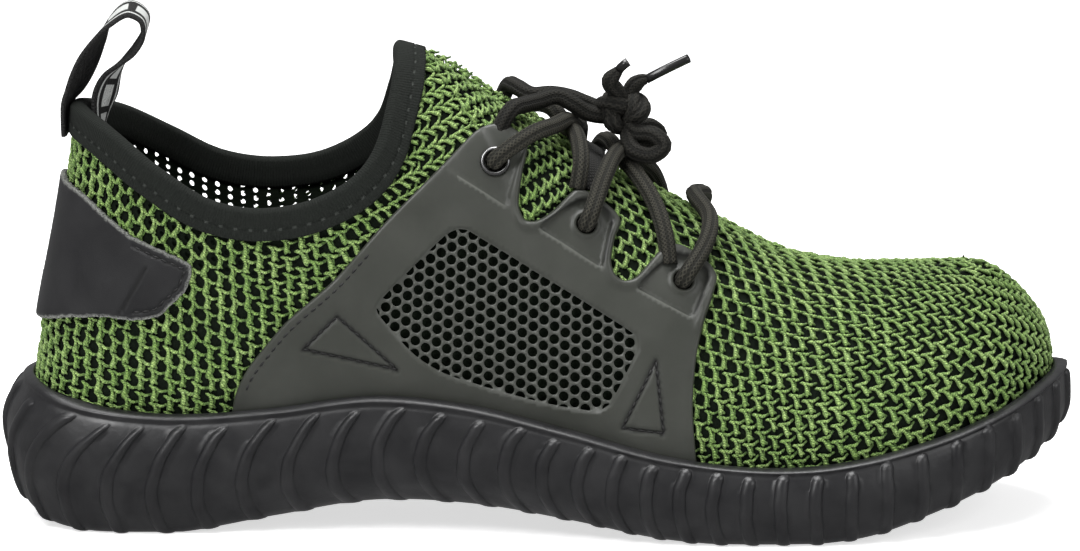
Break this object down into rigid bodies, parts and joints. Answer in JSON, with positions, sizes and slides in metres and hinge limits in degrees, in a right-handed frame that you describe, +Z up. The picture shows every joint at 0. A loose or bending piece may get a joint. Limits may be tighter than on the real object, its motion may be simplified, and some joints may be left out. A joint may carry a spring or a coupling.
{
  "type": "safety sneaker",
  "caption": "low-cut safety sneaker with a knitted sock upper, moulded laced side panels, leather heel counter, pull loop and ribbed cup sole",
  "frame": {"origin": "on the floor under the middle of the heel, at the mount heel_rest", "axes": "+X from heel to toe, +Y towards the inner (medial) side, +Z up; the outer (lateral) side faces -Y"},
  "size_m": [0.3018, 0.109, 0.147],
  "materials": {
    "sole_rubber": "satin near-black moulded rubber",
    "green_knit": "open green knit over black lining",
    "insole_fabric": "black felt cover",
    "panel_moulding": "dark grey-green soft moulding",
    "counter_leather": "dark grey coated leather with raw light edges",
    "binding_tape": "charcoal stretch tape",
    "webbing": "black woven tape",
    "lace_cord": "dark round braided lace",
    "lace_tip": "dark film tip",
    "eyelet_metal": "black enamelled ring"
  },
  "bodies": {
    "root": {"sole": "sole_rubber", "upper": "green_knit", "insole": "insole_fabric", "panel_lateral": "panel_moulding", "panel_medial": "panel_moulding", "heel_counter": "counter_leather", "collar_binding": "binding_tape", "pull_loop": "webbing", "lace_keeper": "webbing", "eyelet_ring_lateral": "eyelet_metal", "eyelet_ring_medial": "eyelet_metal", "lace_bar": "lace_cord", "lace_cross_low": "lace_cord", "lace_cross_high": "lace_cord", "lace_lead_near": "lace_cord", "lace_lead_far": "lace_cord", "lace_knot": "lace_cord", "lace_loop_near": "lace_cord", "lace_loop_far": "lace_cord", "lace_end_short": "lace_cord", "lace_end_long": "lace_cord", "aglet_short": "lace_tip", "aglet_long": "lace_tip"}
  },
  "joints": []
}
